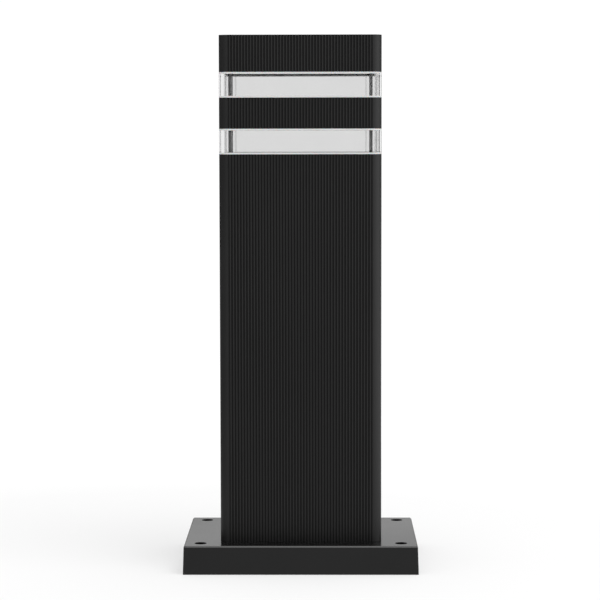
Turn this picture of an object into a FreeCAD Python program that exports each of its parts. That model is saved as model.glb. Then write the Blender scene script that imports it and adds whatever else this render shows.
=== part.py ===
"""Surface-mounted bollard light: a fluted rectangular aluminium post on a cast base,
with two clear see-through windows near the top.

Millimetres. X runs across the bollard, Y from front (-Y) to back (+Y), Z up.
The origin is at the centre of the base's foot, on the ground.
"""
import FreeCAD, Part
import math
import os

os.makedirs("parts", exist_ok=True)

# ---------------------------------------------------------------- driving sizes
# the extruded profile, shared by the post, the spacer and the cap
POST_W = 150.0
POST_D = 106.0
CORNER_R = 9.0
WALL = 3.2
FLUTE_PITCH = 2.75
FLUTE_MOUTH = 1.55
FLUTE_FLOOR = 1.15
FLUTE_DEPTH = 0.7
RAIL_DEEP = 4.6
RAIL_WIDE = 9.0
RAIL_Y = 18.0
PORT_INSET = 9.5
PORT_R = 4.5
PORT_HOLE_R = 1.65
PORT_WEB = 3.0

# the stack, from the foot up
BASE_H = 26.5
POST_H = 360.0
WINDOW_H = 23.4
SPACER_H = 28.6
CAP_H = 34.0

# the base casting
BASE_MARGIN_X = 33.0
BASE_MARGIN_Y = 24.0
BASE_DRAFT = 0.8
BASE_CORNER_R = 1.0
BASE_CHAMFER = 1.2
BASE_INNER_R = 4.0
BASE_RIB_Z = 2.0
BASE_WALL = 6.0
BASE_DECK = 8.0
BASE_RIB = 4.0
ANCHOR_INSET = 15.0
ANCHOR_HOLE_R = 5.5
ANCHOR_BOSS_R = 11.0

# the collar that the post slides over
SPIGOT_H = 60.0
SPIGOT_WALL = 3.5
SPIGOT_GAP = 0.5
SPIGOT_BOSS_R = 6.5
SPIGOT_BOSS_INSET_X = 14.0
SPIGOT_BOSS_INSET_Y = 9.0
SET_SCREW_R = 3.0
SET_SCREW_Z = 26.0
SET_SCREW_GAP = 0.1
SET_SCREW_SUNK = 0.2

# cable entry
GLAND_R = 10.0
GLAND_TUBE_R = 9.5
GLAND_FLANGE_R = 15.0
GLAND_NUT_R = 14.0
GLAND_BORE_R = 6.5
GLAND_HEX_H = 6.0
GLAND_TUBE_H = 16.0
GLAND_NUT_H = 5.0
GLAND_NUT_ROOM = 8.0
GLAND_THREAD_PAST_NUT = 1.5
GLAND_HOLE_GAP = 0.2
GLAND_DOME_H = 17.0
GLAND_DOME_GAP = 1.0
GLAND_DOME_WALL = 2.6
GLAND_DOME_R = 3.0
GLAND_SKIRT_WALL = 4.0
SEAL_H = 12.0
CABLE_R = 4.5
CABLE_GAP = 1.0

# windows
RING_WALL = 5.0
RING_INNER_R = 4.0
GASKET_T = 1.5
PLATE_GAP = 0.3
LID_T = 3.0
LID_GAP = 0.15

# side straps that tie the head to the post
STRAP_T = 2.2
STRAP_W = 55.0
STRAP_IN_POST = 38.0
STRAP_IN_CAP = 24.0
STRAP_SLOT_GAP = 0.3
STRAP_SCREW_END = 10.0

# leads that run up beside the straps and show in the windows
LEAD_R = 0.75
LEAD_GAP = 0.3
LEAD_OFF_STRAP = 2.45
LEAD_BEND_R = 3.0
LEAD_CROSS_ABOVE_DRIVER = 26.0
FEED_ABOVE_CONNECTOR = 8.0
LINK_ABOVE_FEED = 6.0

# light engines
ENGINE_L = 104.0
ENGINE_D = 44.0
ENGINE_SCREW_X = 39.0
ENGINE_HOLE_FLOOR = 0.2
SINK_SHORTER = 16.0
LENS_SHEET_T = 1.5
LENS_R = 4.0
LENS_HOLE_R = 4.5
LENS_SAG = 1.1
LED_SIZE = 3.0
LED_T = 0.7
LED_SIDE_GAP = 0.3
LED_FACE_GAP = 0.2
LED_COLUMNS = 5
LED_ROWS = 2
LED_STEP_X = 19.0
LED_STEP_Y = 20.0
BOARD_T = 1.6
SINK_BASE_T = 3.0
SINK_FIN_H = 6.5
SINK_FIN_T = 1.2
SINK_FINS = 7

# gear tray and what it carries
TRAY_T = 1.5
TRAY_Z = 70.0
TRAY_H = 230.0
TRAY_BACK_Y = 27.0
TRAY_FLANGE = 50.0
TRAY_SCREW_END = 15.0
DRIVER_W = 45.0
DRIVER_D = 28.0
DRIVER_H = 120.0
DRIVER_EDGE_R = 2.5
DRIVER_EAR = 10.0
DRIVER_EAR_T = 2.5
DRIVER_Z = 94.0
BLOCK_Z = 30.0
BLOCK_H = 26.0
BLOCK_D = 17.0
BLOCK_WALL = 1.2
BLOCK_EAR = 8.0
BLOCK_EAR_T = 3.0
BLOCK_EDGE_R = 0.8
POLE_PITCH = 9.0
POLES = ("line", "neutral", "earth")
LEVER_W = 7.2
LEVER_T = 2.2
LEVER_L = 17.0
LEVER_BARREL_R = 1.6
LEVER_PIN_R = 0.8
LEVER_PIN_GAP = 0.05
LEVER_POCKET = 3.8
LEVER_SIDE_GAP = 0.3
LEVER_PIVOT_DROP = 4.2
LEVER_LIP = 1.6
LEVER_TIP_GAP = 0.8
LEVER_BACK_ROOM = 2.4
WIRE_R = 1.1
WIRE_HOLE_GAP = 0.1
WIRE_STRAIGHT = 10.0
WIRE_BEND_R = 8.0
WIRE_IN_DRIVER = 3.5
WIRE_IN_BLOCK = 5.5
WIRE_HOLE_PAST_END = 0.5
SUPPLY_HOLE_R = 2.3
SUPPLY_HOLE_DEPTH = 7.0
EARTH_X = 40.0
EARTH_ABOVE_BLOCK = 18.0
EARTH_WIRE_BEND_R = 5.0
EARTH_WIRE_IN = 4.0
TAG_T = 0.8
TAG_RING_R = 4.0
TAG_BARREL_R = 1.8
TAG_BARREL_L = 8.0

# fasteners (core radius, head radius, head height)
M3 = (1.25, 2.75, 1.8)
M4 = (1.6, 3.75, 2.2)
M5 = (2.1, 4.6, 3.0)
SCREW_GAP = 0.05
SCREW_TIP_ROOM = 0.8
SCREW_TIP_PAST_RAIL = 0.5
PORT_SCREW_L = 12.0
M3_HOLE_GAP = 0.3
M4_HOLE_GAP = 0.2
M5_HOLE_GAP = 0.5

# ---------------------------------------------------------------- levels that follow
POST_Z = BASE_H
POST_TOP = POST_Z + POST_H
SPACER_Z = POST_TOP + WINDOW_H
SPACER_TOP = SPACER_Z + SPACER_H
CAP_Z = SPACER_TOP + WINDOW_H
CAP_TOP = CAP_Z + CAP_H
HALF_W = POST_W / 2
HALF_D = POST_D / 2
IN_W = HALF_W - WALL
IN_D = HALF_D - WALL
RAIL_X = IN_W - RAIL_DEEP
PORT_X = IN_W - PORT_INSET
PORT_Y = IN_D - PORT_INSET
STRAP_X = RAIL_X - STRAP_T
STRAP_BOTTOM = POST_TOP - STRAP_IN_POST
STRAP_TOP = CAP_Z + STRAP_IN_CAP

Z = FreeCAD.Vector(0, 0, 1)
BIG = 2.0 * max(POST_W, POST_D)


def vec(x, y, z=0.0):
    return FreeCAD.Vector(x, y, z)


# ---------------------------------------------------------------- shape helpers
def save(name, shapes):
    """Write one node; a list of shapes becomes a group of separate solids."""
    if isinstance(shapes, (list, tuple)):
        solids = [solid for shape in shapes for solid in shape.Solids]
        shape = solids[0] if len(solids) == 1 else Part.makeCompound(solids)
    else:
        shape = shapes.Solids[0] if len(shapes.Solids) == 1 else shapes
    if not shape.isValid() or not shape.Solids:
        raise ValueError(name + " is not a valid shape")
    shape.exportStep("parts/" + name + ".step")
    print("%-28s %2d solid(s) %10.1f mm3" % (name, len(shape.Solids), shape.Volume))


def rounded_face(half_x, half_y, r, z=0.0):
    """A rectangle with round corners, as a flat face at height z."""
    if r <= 0.01:
        corners = [vec(sx * half_x, sy * half_y, z)
                   for sx, sy in ((-1, -1), (1, -1), (1, 1), (-1, 1), (-1, -1))]
        return Part.Face(Part.makePolygon(corners))
    edges = []
    c = r * (1 - math.sqrt(0.5))
    corners = ((1, 1), (-1, 1), (-1, -1), (1, -1))
    for i, (sx, sy) in enumerate(corners):
        along_y = vec(sx * half_x, sy * (half_y - r), z)
        along_x = vec(sx * (half_x - r), sy * half_y, z)
        middle = vec(sx * (half_x - c), sy * (half_y - c), z)
        start, end = (along_y, along_x) if sx * sy > 0 else (along_x, along_y)
        edges.append(Part.Arc(start, middle, end).toShape())
        nx, ny = corners[(i + 1) % 4]
        if nx * ny > 0:
            following = vec(nx * half_x, ny * (half_y - r), z)
        else:
            following = vec(nx * (half_x - r), ny * half_y, z)
        edges.append(Part.makeLine(end, following))
    return Part.Face(Part.Wire(edges))


def rounded_block(half_x, half_y, r, z0, z1):
    return rounded_face(half_x, half_y, r, z0).extrude(vec(0, 0, z1 - z0))


def box(x0, x1, y0, y1, z0, z1):
    return Part.makeBox(x1 - x0, y1 - y0, z1 - z0, vec(x0, y0, z0))


def rod(x, y, z, r, length, direction=Z):
    return Part.makeCylinder(r, length, vec(x, y, z), direction)


def corners_of(x, y):
    return [(sx * x, sy * y) for sx in (-1, 1) for sy in (-1, 1)]


def flute_faces(z):
    """One narrow trapezium for each groove, all round the profile's flat sides."""
    faces = []
    reach = 1.0
    spread = (FLUTE_MOUTH - FLUTE_FLOOR) / 2 / FLUTE_DEPTH
    for half_run, half_off, along_x in ((HALF_W, HALF_D, True), (HALF_D, HALF_W, False)):
        count = int((2 * (half_run - CORNER_R) + 0.01) / FLUTE_PITCH)
        for side in (-1, 1):
            for i in range(count + 1):
                s = (i - count / 2) * FLUTE_PITCH
                outer = FLUTE_MOUTH / 2 + spread * reach
                inner = FLUTE_FLOOR / 2
                profile = [(s - outer, half_off + reach), (s + outer, half_off + reach),
                           (s + inner, half_off - FLUTE_DEPTH), (s - inner, half_off - FLUTE_DEPTH)]
                if along_x:
                    points = [vec(a, side * b, z) for a, b in profile]
                else:
                    points = [vec(side * b, a, z) for a, b in profile]
                faces.append(Part.Face(Part.makePolygon(points + points[:1])))
    return faces


def profile_void(z, full=False):
    """The hollow of the extrusion; full leaves out the rails and screw ports."""
    void = rounded_face(IN_W, IN_D, max(CORNER_R - WALL, 0.5), z)
    if full:
        return void
    fills = []
    for sx in (-1, 1):
        for sy in (-1, 1):
            near, far = sy * RAIL_Y - RAIL_WIDE / 2, sy * RAIL_Y + RAIL_WIDE / 2
            rail = [vec(sx * RAIL_X, near, z), vec(sx * HALF_W, near, z),
                    vec(sx * HALF_W, far, z), vec(sx * RAIL_X, far, z)]
            fills.append(Part.Face(Part.makePolygon(rail + rail[:1])))
            port = vec(sx * PORT_X, sy * PORT_Y, z)
            circle = Part.Wire(Part.makeCircle(PORT_R, port, Z))
            fills.append(Part.Face(circle))
            web_end = vec(sx * (IN_W + WALL / 2), sy * (IN_D + WALL / 2), z)
            run = web_end - port
            side = run.cross(Z)
            side.normalize()
            side.multiply(PORT_WEB / 2)
            web = [port + side, web_end + side, web_end - side, port - side]
            fills.append(Part.Face(Part.makePolygon(web + web[:1])))
    return void.cut(fills)


def profile(z0, z1):
    """A length of the fluted extrusion, with its screw port holes."""
    face = rounded_face(HALF_W, HALF_D, CORNER_R, z0).cut(flute_faces(z0))
    face = face.cut(profile_void(z0))
    holes = [Part.Face(Part.Wire(Part.makeCircle(PORT_HOLE_R, vec(x, y, z0), Z)))
             for x, y in corners_of(PORT_X, PORT_Y)]
    return face.cut(holes).extrude(vec(0, 0, z1 - z0)).Solids[0]


def cone_screw(x, y, face_z, up, size, length):
    """A countersunk screw whose flat head lies in a face; up is +1 for a head on top."""
    core, head, _ = size
    sink = head - core
    cone = Part.makeCone(head, core, sink, vec(x, y, face_z), vec(0, 0, -up))
    shank = rod(x, y, face_z, core, length, vec(0, 0, -up))
    screw = cone.fuse(shank).removeSplitter()
    socket = hex_socket(x, y, face_z + up * 0.01, core * 0.9, 0.9 * sink, vec(0, 0, -up))
    return screw.cut(socket)


def cone_hole(x, y, face_z, up, size, length):
    core, head, _ = size
    sink = head - core
    cone = Part.makeCone(head + SCREW_GAP, core + SCREW_GAP, sink, vec(x, y, face_z), vec(0, 0, -up))
    return cone.fuse(rod(x, y, face_z, core + SCREW_GAP, length, vec(0, 0, -up)))


def hex_socket(x, y, z, r, depth, direction):
    """A six-sided key hole, r across its corners, sunk along direction."""
    ring = [vec(r * math.cos(i * math.pi / 3), r * math.sin(i * math.pi / 3)) for i in range(7)]
    prism = Part.Face(Part.makePolygon(ring)).extrude(vec(0, 0, depth))
    prism.Placement = FreeCAD.Placement(vec(x, y, z), FreeCAD.Rotation(Z, direction))
    return prism


def pan_screw(place, direction, size, length):
    """A domed-head screw; place is under the head, direction is where the shank goes."""
    core, head, height = size
    shank = Part.makeCylinder(core, length + height / 2, vec(0, 0, -height / 2), Z)
    dome = Part.makeCylinder(head, height, vec(0, 0, -height), Z)
    dome = dome.makeFillet(height * 0.55, [e for e in dome.Edges if abs(e.CenterOfMass.z + height) < 0.01])
    screw = dome.fuse(shank).removeSplitter()
    screw = screw.cut(hex_socket(0, 0, -height - 0.01, core * 0.85, height * 0.6, Z))
    screw.Placement = FreeCAD.Placement(place, FreeCAD.Rotation(Z, direction))
    return screw


def path_wire(points, bend_r):
    """Straight runs through the points, joined by tangent arcs."""
    edges = []
    start = points[0]
    for i in range(1, len(points) - 1):
        before = (points[i - 1] - points[i]).normalize()
        after = (points[i + 1] - points[i]).normalize()
        turn = math.pi - before.getAngle(after)
        back = bend_r * math.tan(turn / 2)
        a = points[i] + before * back
        b = points[i] + after * back
        inward = (before + after).normalize()
        centre = points[i] + inward * math.hypot(back, bend_r)
        middle = centre - inward * bend_r
        edges.append(Part.makeLine(start, a))
        edges.append(Part.Arc(a, middle, b).toShape())
        start = b
    edges.append(Part.makeLine(start, points[-1]))
    return Part.Wire(edges)


def round_lead(points, r, bend_r):
    """A round insulated wire along a path."""
    wire = path_wire(points, bend_r)
    direction = points[1] - points[0]
    end = Part.Wire(Part.makeCircle(r, points[0], direction))
    return wire.makePipeShell([end], True, True)


# ---------------------------------------------------------------- base casting
BASE_X = HALF_W + BASE_MARGIN_X
BASE_Y = HALF_D + BASE_MARGIN_Y
ANCHOR_X = BASE_X - ANCHOR_INSET
ANCHOR_Y = BASE_Y - ANCHOR_INSET
DECK_Z = BASE_H - BASE_DECK
SPIGOT_X = RAIL_X - SPIGOT_GAP
SPIGOT_Y = IN_D - SPIGOT_GAP
SPIGOT_NARROW_X = PORT_X - PORT_R - SPIGOT_GAP
SPIGOT_NARROW_Y = PORT_Y - PORT_R - SPIGOT_GAP
SPIGOT_BOSS_X = SPIGOT_NARROW_X - SPIGOT_BOSS_INSET_X
SPIGOT_BOSS_Y = SPIGOT_Y - SPIGOT_BOSS_INSET_Y


def base_plate():
    """Drafted casting, hollow underneath, with bosses, ribs and a cable hole."""
    foot = rounded_face(BASE_X + BASE_DRAFT, BASE_Y + BASE_DRAFT, BASE_CORNER_R, 0).OuterWire
    shoulder = rounded_face(BASE_X, BASE_Y, BASE_CORNER_R, BASE_H - BASE_CHAMFER).OuterWire
    rim = rounded_face(BASE_X - BASE_CHAMFER, BASE_Y - BASE_CHAMFER, BASE_CORNER_R, BASE_H).OuterWire
    body = Part.makeLoft([foot, shoulder], True, True).fuse(Part.makeLoft([shoulder, rim], True, True))
    hollow = rounded_block(BASE_X - BASE_WALL, BASE_Y - BASE_WALL, BASE_INNER_R, -1.0, DECK_Z)
    nut_room = rod(0, 0, -1.0, GLAND_FLANGE_R + GLAND_NUT_ROOM, BIG)
    stays = [rod(x, y, -1.0, ANCHOR_BOSS_R, BASE_H) for x, y in corners_of(ANCHOR_X, ANCHOR_Y)]
    long_rib = box(-BASE_X + 1, BASE_X - 1, -BASE_RIB / 2, BASE_RIB / 2, BASE_RIB_Z, DECK_Z)
    cross_rib = box(-BASE_RIB / 2, BASE_RIB / 2, -BASE_Y + 1, BASE_Y - 1, BASE_RIB_Z, DECK_Z)
    stays += [long_rib.cut(nut_room), cross_rib.cut(nut_room)]
    body = body.cut(hollow.cut(stays))
    holes = [rod(x, y, -1.0, ANCHOR_HOLE_R, BASE_H + 2) for x, y in corners_of(ANCHOR_X, ANCHOR_Y)]
    holes += [rod(x, y, DECK_Z - 1, M5[0] + M5_HOLE_GAP, BASE_DECK + 2)
              for x, y in corners_of(SPIGOT_BOSS_X, SPIGOT_BOSS_Y)]
    holes.append(rod(0, 0, DECK_Z - 1, GLAND_R + GLAND_HOLE_GAP, BASE_DECK + 2))
    return body.cut(holes)


def spigot():
    """Rectangular collar that the post slides over, notched round the post's screw ports."""
    def plus(inset, z0, z1):
        wide = rounded_block(SPIGOT_X - inset, SPIGOT_NARROW_Y - inset, 1.0, z0, z1)
        deep = rounded_block(SPIGOT_NARROW_X - inset, SPIGOT_Y - inset, 1.0, z0, z1)
        return wide.fuse(deep)
    top = BASE_H + SPIGOT_H
    wall = plus(0, BASE_H, top).cut(plus(SPIGOT_WALL, BASE_H - 1, top + 1))
    places = corners_of(SPIGOT_BOSS_X, SPIGOT_BOSS_Y)
    bosses = [rod(x, y, BASE_H, SPIGOT_BOSS_R, SPIGOT_H / 3) for x, y in places]
    bosses = [boss.common(plus(0, BASE_H, top)) for boss in bosses]
    body = wall.fuse(bosses).removeSplitter()
    return body.cut([rod(x, y, BASE_H - 1, M5[0] + SCREW_GAP, SPIGOT_H / 4 + 1) for x, y in places])


def spigot_screws():
    length = BASE_DECK + SPIGOT_H / 5
    return [pan_screw(vec(x, y, DECK_Z), Z, M5, length) for x, y in corners_of(SPIGOT_BOSS_X, SPIGOT_BOSS_Y)]


save("base_plate", base_plate())
save("spigot", spigot())
save("spigot_screws", spigot_screws())


# ---------------------------------------------------------------- cable gland
GLAND_TOP = BASE_H + GLAND_HEX_H + GLAND_TUBE_H


def hex_prism(r, z0, z1):
    ring = [vec(r * math.cos(i * math.pi / 3), r * math.sin(i * math.pi / 3), z0) for i in range(7)]
    return Part.Face(Part.makePolygon(ring)).extrude(vec(0, 0, z1 - z0))


def gland_body():
    """Hexagon seat on the deck, with a threaded tube through it and another above it."""
    seat = hex_prism(GLAND_FLANGE_R, BASE_H, BASE_H + GLAND_HEX_H)
    tail = GLAND_NUT_H + GLAND_THREAD_PAST_NUT
    below = rod(0, 0, DECK_Z - tail, GLAND_R, BASE_DECK + tail + 1.0)
    above = rod(0, 0, BASE_H + GLAND_HEX_H - 1, GLAND_TUBE_R, GLAND_TUBE_H + 1)
    return seat.fuse([below, above]).removeSplitter().cut(rod(0, 0, -1, GLAND_BORE_R, BIG))


def gland_locknut():
    return hex_prism(GLAND_NUT_R, DECK_Z - GLAND_NUT_H, DECK_Z).cut(rod(0, 0, -1, GLAND_R + SCREW_GAP, BIG))


def gland_dome():
    """Clamping nut: six-sided skirt with a rounded crown, open for the cable."""
    z0 = BASE_H + GLAND_HEX_H + GLAND_DOME_GAP
    z1 = z0 + GLAND_DOME_H
    shell = rod(0, 0, z0, GLAND_R + GLAND_DOME_WALL, GLAND_DOME_H)
    shell = shell.makeFillet(GLAND_DOME_R, [e for e in shell.Edges if abs(e.CenterOfMass.z - z1) < 0.01])
    skirt = hex_prism(GLAND_R + GLAND_SKIRT_WALL, z0, z0 + GLAND_DOME_H * 0.45)
    inside = rod(0, 0, z0 - 1, GLAND_TUBE_R + SCREW_GAP, GLAND_TOP - z0 + 1.1)
    return shell.fuse(skirt).removeSplitter().cut([inside, rod(0, 0, z0, CABLE_R + CABLE_GAP, BIG)])


def gland_seal():
    seal = rod(0, 0, GLAND_TOP - SEAL_H, GLAND_BORE_R - SCREW_GAP, SEAL_H)
    return seal.cut(rod(0, 0, GLAND_TOP - SEAL_H - 1, CABLE_R, SEAL_H + 2))


save("gland_body", gland_body())
save("gland_locknut", gland_locknut())
save("gland_dome_nut", gland_dome())
save("gland_seal", gland_seal())


# ---------------------------------------------------------------- post
TRAY_Z0 = POST_Z + TRAY_Z
TRAY_Z1 = TRAY_Z0 + TRAY_H
TRAY_SCREW_LEVELS = (TRAY_Z0 + TRAY_SCREW_END, TRAY_Z1 - TRAY_SCREW_END)
STRAP_POST_LEVELS = (POST_TOP - STRAP_SCREW_END, POST_TOP - STRAP_IN_POST + STRAP_SCREW_END)
STRAP_SPACER_LEVELS = (SPACER_Z + SPACER_H / 2,)
STRAP_CAP_LEVELS = (CAP_Z + STRAP_IN_CAP / 2,)
RAIL_HOLE_DEPTH = RAIL_DEEP + SCREW_TIP_ROOM
SET_SCREW_LEVEL = BASE_H + SET_SCREW_Z


def rail_holes(levels, ys):
    """Blind threaded holes sunk into the rails from inside."""
    holes = []
    for z in levels:
        for y in ys:
            for side in (-1, 1):
                start = side * (RAIL_X - 1.0)
                holes.append(rod(start, y, z, M4[0] + SCREW_GAP, RAIL_HOLE_DEPTH + 1.0, vec(side, 0, 0)))
    return holes


def port_countersinks(face_z, up):
    """Mouths of the screw ports, opened for countersunk heads in a plate on that end."""
    seat = face_z + up * GASKET_T
    return [cone_hole(x, y, seat, up, M4, GASKET_T + 1.0) for x, y in corners_of(PORT_X, PORT_Y)]


def post_body():
    body = profile(POST_Z, POST_TOP)
    cuts = port_countersinks(POST_TOP, 1)
    cuts += rail_holes(STRAP_POST_LEVELS, (-RAIL_Y, RAIL_Y))
    cuts += rail_holes(TRAY_SCREW_LEVELS, (-RAIL_Y,))
    for side in (-1, 1):
        for y in (-RAIL_Y, RAIL_Y):
            cuts.append(rod(side * (RAIL_X - 1), y, SET_SCREW_LEVEL, SET_SCREW_R, HALF_W, vec(side, 0, 0)))
    return body.cut(cuts)


def set_screws():
    """Headless screws in the post's foot that bear on the spigot."""
    screws = []
    for side in (-1, 1):
        for y in (-RAIL_Y, RAIL_Y):
            inner = SPIGOT_X + SET_SCREW_GAP
            length = HALF_W - FLUTE_DEPTH - SET_SCREW_SUNK - inner
            screw = rod(side * inner, y, SET_SCREW_LEVEL, SET_SCREW_R - SCREW_GAP, length, vec(side, 0, 0))
            key = hex_socket(side * (inner + length + 0.01), y, SET_SCREW_LEVEL,
                             SET_SCREW_R * 0.6, SET_SCREW_R, vec(-side, 0, 0))
            screws.append(screw.cut(key))
    return screws


save("post_body", post_body())
save("post_set_screws", set_screws())


# ---------------------------------------------------------------- end plates, gaskets and clear rings
PLATE_X = HALF_W - RING_WALL - PLATE_GAP
PLATE_Y = HALF_D - RING_WALL - PLATE_GAP
PLATE_R = RING_INNER_R - PLATE_GAP
LED_PLACES = [((i - (LED_COLUMNS - 1) / 2) * LED_STEP_X, (j - (LED_ROWS - 1) / 2) * LED_STEP_Y)
              for i in range(LED_COLUMNS) for j in range(LED_ROWS)]
FIN_PITCH = (ENGINE_D - 2.0) / (SINK_FINS - 1)
ENGINE_SCREW_Y = 2.5 * FIN_PITCH
SINK_L = ENGINE_L - SINK_SHORTER
LEAD_X = STRAP_X - LEAD_OFF_STRAP - LEAD_R
LEAD_Y = TRAY_BACK_Y - TRAY_T - DRIVER_D / 2


def end_plate(section_end, up, optic):
    """Plate screwed over the end of a section; it stands out by one gasket thickness."""
    z0, z1 = (section_end, section_end + GASKET_T) if up > 0 else (section_end - GASKET_T, section_end)
    plate = rounded_block(PLATE_X, PLATE_Y, PLATE_R, z0, z1)
    reach = STRAP_W / 2 + STRAP_SLOT_GAP
    cuts = [box(STRAP_X - STRAP_SLOT_GAP, HALF_W, -reach, reach, z0 - 1, z1 + 1),
            box(-HALF_W, -STRAP_X + STRAP_SLOT_GAP, -reach, reach, z0 - 1, z1 + 1)]
    face = section_end + up * GASKET_T
    cuts += [cone_hole(x, y, face, up, M4, GASKET_T + 1.0) for x, y in corners_of(PORT_X, PORT_Y)]
    if optic:
        cuts += [rod(x, y, z0 - 1, LENS_HOLE_R, GASKET_T + 2) for x, y in LED_PLACES]
        cuts += [rod(x, y, z0 + ENGINE_HOLE_FLOOR, M3[0] + SCREW_GAP, GASKET_T)
                 for x, y in corners_of(ENGINE_SCREW_X, ENGINE_SCREW_Y)]
    cuts += [rod(side * LEAD_X, LEAD_Y, z0 - 1, LEAD_R + LEAD_GAP, GASKET_T + 2) for side in (-1, 1)]
    return plate.cut(cuts)


def plate_screws(section_end, up):
    face = section_end + up * GASKET_T
    return [cone_screw(x, y, face, up, M4, PORT_SCREW_L) for x, y in corners_of(PORT_X, PORT_Y)]


def clear_ring(z0, z1):
    """Hollow frame on the profile's outline."""
    outer = rounded_block(HALF_W, HALF_D, CORNER_R, z0, z1)
    return outer.cut(rounded_block(HALF_W - RING_WALL, HALF_D - RING_WALL, RING_INNER_R, z0 - 1, z1 + 1))


def gasket(z0):
    """Flat frame with the clear ring's outline."""
    return clear_ring(z0, z0 + GASKET_T)


save("post_top_plate", end_plate(POST_TOP, 1, False))
save("post_top_plate_screws", plate_screws(POST_TOP, 1))
for window, z_low, z_high in (("lower", POST_TOP, SPACER_Z), ("upper", SPACER_TOP, CAP_Z)):
    save(window + "_window_bottom_gasket", gasket(z_low))
    save(window + "_window_ring", clear_ring(z_low + GASKET_T, z_high - GASKET_T))
    save(window + "_window_top_gasket", gasket(z_high - GASKET_T))


# ---------------------------------------------------------------- spacer and cap
def spacer_body():
    body = profile(SPACER_Z, SPACER_TOP)
    cuts = port_countersinks(SPACER_Z, -1) + port_countersinks(SPACER_TOP, 1)
    return body.cut(cuts + rail_holes(STRAP_SPACER_LEVELS, (-RAIL_Y, RAIL_Y)))


def cap_body():
    """Top length of the extrusion; its rails and ports are milled down to seat the lid."""
    body = profile(CAP_Z, CAP_TOP)
    seat = profile_void(CAP_TOP - LID_T, full=True).extrude(vec(0, 0, LID_T + 1))
    return body.cut([seat] + port_countersinks(CAP_Z, -1) + rail_holes(STRAP_CAP_LEVELS, (-RAIL_Y, RAIL_Y)))


def cap_lid():
    corner = max(CORNER_R - WALL - LID_GAP, 0.5)
    lid = rounded_block(IN_W - LID_GAP, IN_D - LID_GAP, corner, CAP_TOP - LID_T, CAP_TOP)
    return lid.cut([cone_hole(x, y, CAP_TOP, 1, M4, LID_T + 1.0) for x, y in corners_of(PORT_X, PORT_Y)])


save("spacer_body", spacer_body())
save("spacer_bottom_plate", end_plate(SPACER_Z, -1, True))
save("spacer_top_plate", end_plate(SPACER_TOP, 1, False))
save("spacer_plate_screws", plate_screws(SPACER_Z, -1) + plate_screws(SPACER_TOP, 1))
save("cap_body", cap_body())
save("cap_bottom_plate", end_plate(CAP_Z, -1, True))
save("cap_bottom_plate_screws", plate_screws(CAP_Z, -1))
save("cap_lid", cap_lid())
save("cap_lid_screws", [cone_screw(x, y, CAP_TOP, 1, M4, PORT_SCREW_L)
                        for x, y in corners_of(PORT_X, PORT_Y)])


# ---------------------------------------------------------------- light engines in the cap and the spacer
BOARD_Z = LENS_SHEET_T
SINK_Z = BOARD_Z + BOARD_T
SINK_TOP = SINK_Z + SINK_BASE_T
LENS_BALL_R = (LENS_R ** 2 + LENS_SAG ** 2) / (2 * LENS_SAG)
ENGINE_SCREWS = corners_of(ENGINE_SCREW_X, ENGINE_SCREW_Y)
CONNECTOR = (7.4, 6.0, 5.0)
CONNECTOR_OFF_SINK = 0.3
CONNECTOR_X = SINK_L / 2 + CONNECTOR_OFF_SINK + CONNECTOR[0] / 2
CONTACT_OFFSET = 2.0
LEAD_DEPTH = 2.5


def lens_sheet(z):
    """Clear sheet with a shallow dome in each plate hole and a pocket over each diode."""
    sheet = box(-ENGINE_L / 2, ENGINE_L / 2, -ENGINE_D / 2, ENGINE_D / 2, z, z + LENS_SHEET_T)
    domes = []
    for x, y in LED_PLACES:
        ball = Part.makeSphere(LENS_BALL_R, vec(x, y, z - LENS_SAG + LENS_BALL_R))
        slab = box(x - LENS_R, x + LENS_R, y - LENS_R, y + LENS_R, z - 2 * LENS_SAG, z + LENS_SHEET_T / 3)
        domes.append(ball.common(slab))
    half = LED_SIZE / 2 + LED_SIDE_GAP
    pocket = z + LENS_SHEET_T - LED_T - LED_FACE_GAP
    cuts = [box(x - half, x + half, y - half, y + half, pocket, z + LENS_SHEET_T + 1) for x, y in LED_PLACES]
    cuts += [rod(x, y, z - 1, M3[0] + M3_HOLE_GAP, LENS_SHEET_T + 2) for x, y in ENGINE_SCREWS]
    return sheet.fuse(domes).cut(cuts)


def leds(z):
    half = LED_SIZE / 2
    top = z + BOARD_Z
    return [box(x - half, x + half, y - half, y + half, top - LED_T, top) for x, y in LED_PLACES]


def led_board(z):
    board = box(-ENGINE_L / 2, ENGINE_L / 2, -ENGINE_D / 2, ENGINE_D / 2, z + BOARD_Z, z + SINK_Z)
    return board.cut([rod(x, y, z, M3[0] + M3_HOLE_GAP, SINK_Z + 1) for x, y in ENGINE_SCREWS])


def heat_sink(z):
    """Flat bar with straight fins along the bollard's width."""
    base = box(-SINK_L / 2, SINK_L / 2, -ENGINE_D / 2, ENGINE_D / 2, z + SINK_Z, z + SINK_TOP)
    fins = []
    for i in range(SINK_FINS):
        y = (i - (SINK_FINS - 1) / 2) * FIN_PITCH
        fins.append(box(-SINK_L / 2, SINK_L / 2, y - SINK_FIN_T / 2, y + SINK_FIN_T / 2,
                        z + SINK_Z, z + SINK_TOP + SINK_FIN_H))
    body = base.fuse(fins).removeSplitter()
    return body.cut([rod(x, y, z, M3[0] + M3_HOLE_GAP, SINK_TOP + 1) for x, y in ENGINE_SCREWS])


def engine_screws(z):
    length = SINK_TOP + GASKET_T - 2 * ENGINE_HOLE_FLOOR
    return [pan_screw(vec(x, y, z + SINK_TOP), vec(0, 0, -1), M3, length) for x, y in ENGINE_SCREWS]


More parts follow.
